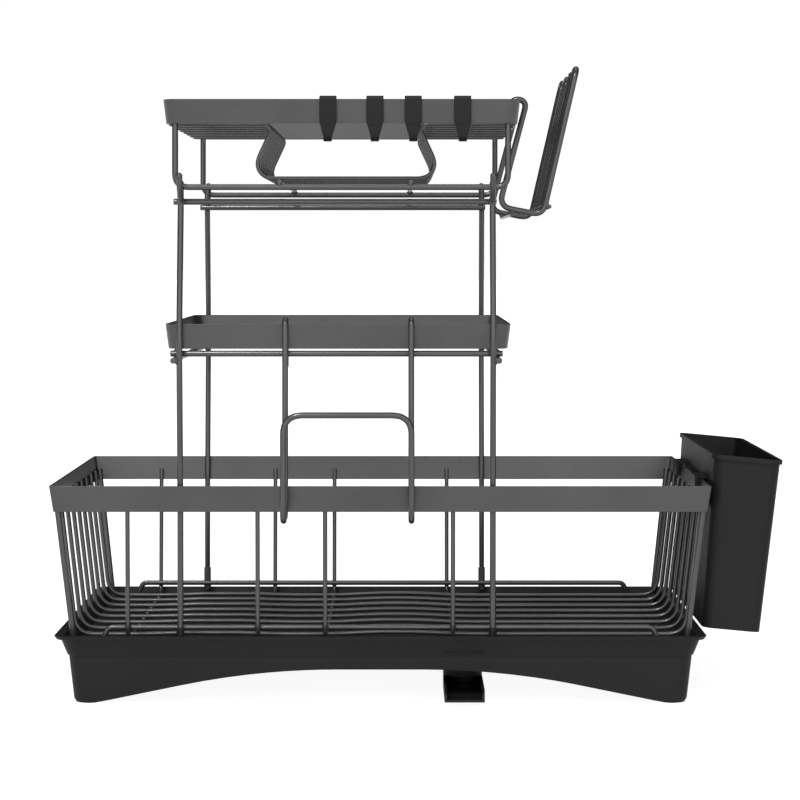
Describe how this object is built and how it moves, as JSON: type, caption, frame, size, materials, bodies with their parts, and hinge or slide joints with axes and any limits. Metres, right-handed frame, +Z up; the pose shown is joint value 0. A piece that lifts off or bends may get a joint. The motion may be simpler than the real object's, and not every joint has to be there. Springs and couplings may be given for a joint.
{
  "type": "countertop dish rack",
  "caption": "Three-tier countertop dish rack of dark grey coated wire on a black drip tray, with board holders, cup hooks and a side cutlery holder.",
  "frame": {"origin": "middle of the rack's overall footprint on the counter", "axes": "+X along the long side, toward the cutlery holder; +Y toward the back; +Z up"},
  "size_m": [0.4802, 0.3371, 0.4181],
  "materials": {
    "coated_steel": "satin powder coat",
    "black_plastic": "matte",
    "black_cap": "matte"
  },
  "bodies": {
    "tray": {"drip_tray": "black_plastic"},
    "spout": {"drain_spout": "black_plastic"},
    "basket": {"basket_rim": "coated_steel", "basket_floor_wires": "coated_steel", "basket_left_wires": "coated_steel", "basket_right_wires": "coated_steel", "basket_cross_wires": "coated_steel", "basket_front_wires": "coated_steel", "basket_rear_wires": "coated_steel", "basket_posts": "coated_steel", "basket_front_rail": "coated_steel", "basket_rear_rail": "coated_steel", "front_sockets": "black_cap", "rear_sockets": "coated_steel"},
    "tier_frame": {"frame_legs": "coated_steel", "frame_pins": "coated_steel", "frame_prongs": "coated_steel", "frame_top_rods": "coated_steel", "frame_side_rods": "coated_steel"},
    "middle_tier": {"middle_rim": "coated_steel", "middle_support_rods": "coated_steel", "middle_side_wires": "coated_steel", "middle_floor_wires": "coated_steel"},
    "top_tier": {"top_rim": "coated_steel", "top_floor_left": "coated_steel", "top_floor_right": "coated_steel", "top_trough_wires": "coated_steel", "top_trough_rods": "coated_steel", "top_cradle_front": "coated_steel", "top_cradle_rear": "coated_steel"},
    "board_holder": {"board_front_wire": "coated_steel", "board_rear_wire": "coated_steel", "board_loops": "coated_steel", "board_rods": "coated_steel"},
    "holder_front": {"front_holder": "coated_steel"},
    "hook_body_1": {"hook_1": "black_plastic"},
    "hook_body_2": {"hook_2": "black_plastic"},
    "hook_body_3": {"hook_3": "black_plastic"},
    "hook_body_4": {"hook_4": "black_plastic"},
    "cutlery": {"cutlery_holder": "black_plastic"}
  },
  "joints": [
    {"name": "spout_swivel", "type": "hinge", "parent": "tray", "child": "spout", "pos_m": [0.02957, -0.0675, 0.018], "axis": [0, 0, 1], "continuous": true},
    {"name": "basket_lift", "type": "slide", "parent": "tray", "child": "basket", "axis": [0, 0, 1], "range_m": [0, 0.05]},
    {"name": "frame_lift", "type": "slide", "parent": "basket", "child": "tier_frame", "axis": [0, 0, 1], "range_m": [0, 0.02]},
    {"name": "middle_lift", "type": "slide", "parent": "tier_frame", "child": "middle_tier", "axis": [0, 0, 1], "range_m": [0, 0.007]},
    {"name": "top_lift", "type": "slide", "parent": "tier_frame", "child": "top_tier", "axis": [0, 0, 1], "range_m": [0, 0.06]},
    {"name": "holder_lift", "type": "slide", "parent": "middle_tier", "child": "holder_front", "axis": [0, 0, 1], "range_m": [0, 0.032]},
    {"name": "board_lift", "type": "slide", "parent": "top_tier", "child": "board_holder", "axis": [0.1392, 0, 0.9903], "range_m": [0, 0.008]},
    {"name": "hook_1_lift", "type": "slide", "parent": "top_tier", "child": "hook_body_1", "axis": [0, 0, 1], "range_m": [0, 0.012]},
    {"name": "hook_2_lift", "type": "slide", "parent": "top_tier", "child": "hook_body_2", "axis": [0, 0, 1], "range_m": [0, 0.012]},
    {"name": "hook_3_lift", "type": "slide", "parent": "top_tier", "child": "hook_body_3", "axis": [0, 0, 1], "range_m": [0, 0.012]},
    {"name": "hook_4_lift", "type": "slide", "parent": "top_tier", "child": "hook_body_4", "axis": [0, 0, 1], "range_m": [0, 0.012]},
    {"name": "cutlery_lift", "type": "slide", "parent": "basket", "child": "cutlery", "axis": [0, 0, 1], "range_m": [0, 0.012]}
  ]
}
